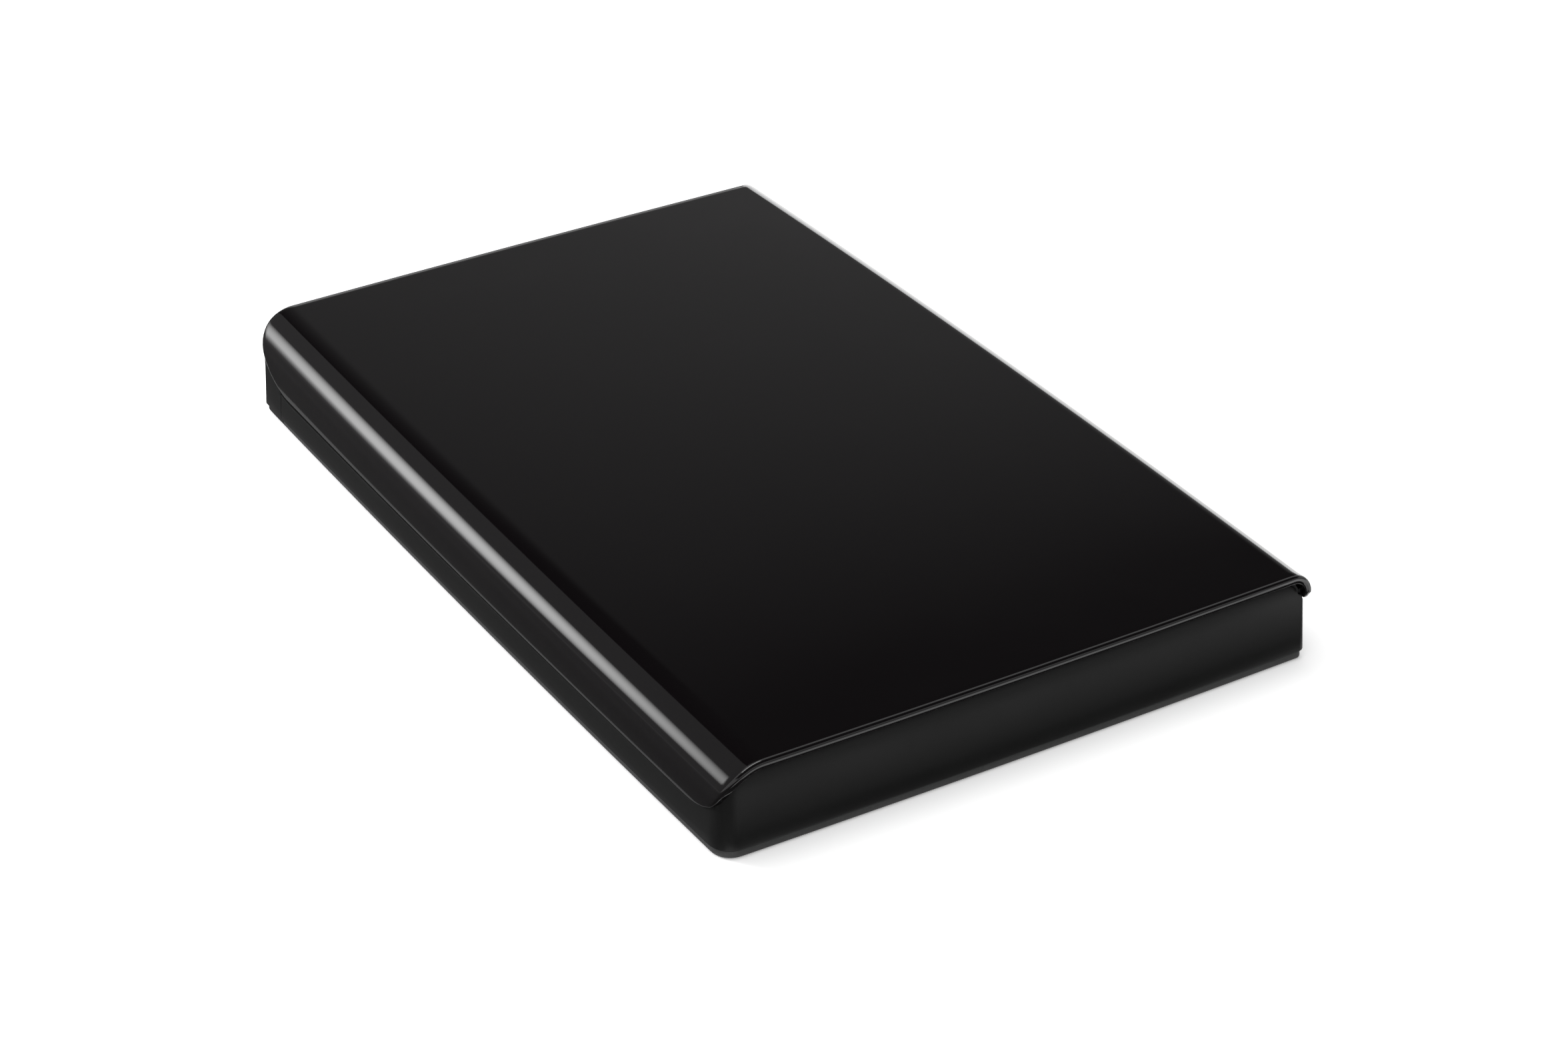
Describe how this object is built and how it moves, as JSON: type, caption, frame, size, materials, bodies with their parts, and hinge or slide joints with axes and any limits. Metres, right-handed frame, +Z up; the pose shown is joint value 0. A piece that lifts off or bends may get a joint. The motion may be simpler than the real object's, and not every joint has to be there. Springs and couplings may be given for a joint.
{
  "type": "portable solid state drive",
  "caption": "Slim black portable solid state drive: glossy cover sheet rolled over one long edge and hooked over the other, satin moulded frame, USB socket in one end.",
  "frame": {"origin": "middle of the footprint, on the surface the base plate rests on", "axes": "+X across the case towards the edge with the small roll, +Y along the case towards the end with the USB socket, +Z up"},
  "size_m": [0.075, 0.12, 0.0134],
  "materials": {
    "gloss_abs": "high-gloss black moulded ABS",
    "satin_abs": "satin black moulded ABS",
    "textured_abs": "black ABS with a fine spark-eroded texture",
    "screw_steel": "zinc-plated steel",
    "drive_alloy": "bead-blasted aluminium",
    "lid_paint": "satin dark grey paint on aluminium",
    "board_laminate": "green solder mask on glass-epoxy laminate",
    "chip_epoxy": "matt black moulding compound",
    "ceramic": "fired ceramic with tinned ends",
    "connector_lcp": "glass-filled black plastic",
    "contact_gold": "gold-plated copper alloy",
    "thermal_gel": "soft grey-blue filled silicone",
    "crystal_can": "nickel-plated lid",
    "ferrite": "dark grey ferrite",
    "shell_steel": "bright tin-plated steel",
    "lamp_resin": "milky clear resin",
    "pipe_acrylic": "clear moulded acrylic",
    "foam": "black closed-cell foam",
    "bumper_rubber": "black rubber",
    "film": "amber polyimide film"
  },
  "bodies": {
    "root": {"top_cover": "gloss_abs", "frame": "satin_abs", "port_end_cap": "satin_abs", "base_plate": "textured_abs", "case_screws": "screw_steel", "drive_tray": "drive_alloy", "drive_lid": "lid_paint", "drive_screws": "screw_steel", "drive_board": "board_laminate", "drive_controller": "chip_epoxy", "cache_chip": "chip_epoxy", "flash_chips": "chip_epoxy", "drive_capacitors": "ceramic", "sata_plug": "connector_lcp", "sata_plug_contacts": "contact_gold", "thermal_pads": "thermal_gel", "bridge_board": "board_laminate", "board_screws": "screw_steel", "sata_socket": "connector_lcp", "sata_socket_contacts": "contact_gold", "bridge_chip": "chip_epoxy", "firmware_chip": "chip_epoxy", "clock_crystal": "crystal_can", "power_inductor": "ferrite", "bridge_capacitors": "ceramic", "usb_shell": "shell_steel", "usb_insulator": "connector_lcp", "usb_contacts": "contact_gold", "activity_led": "lamp_resin", "light_pipe": "pipe_acrylic", "foam_pads": "foam", "front_bumpers": "bumper_rubber", "insulating_film": "film"}
  },
  "joints": []
}
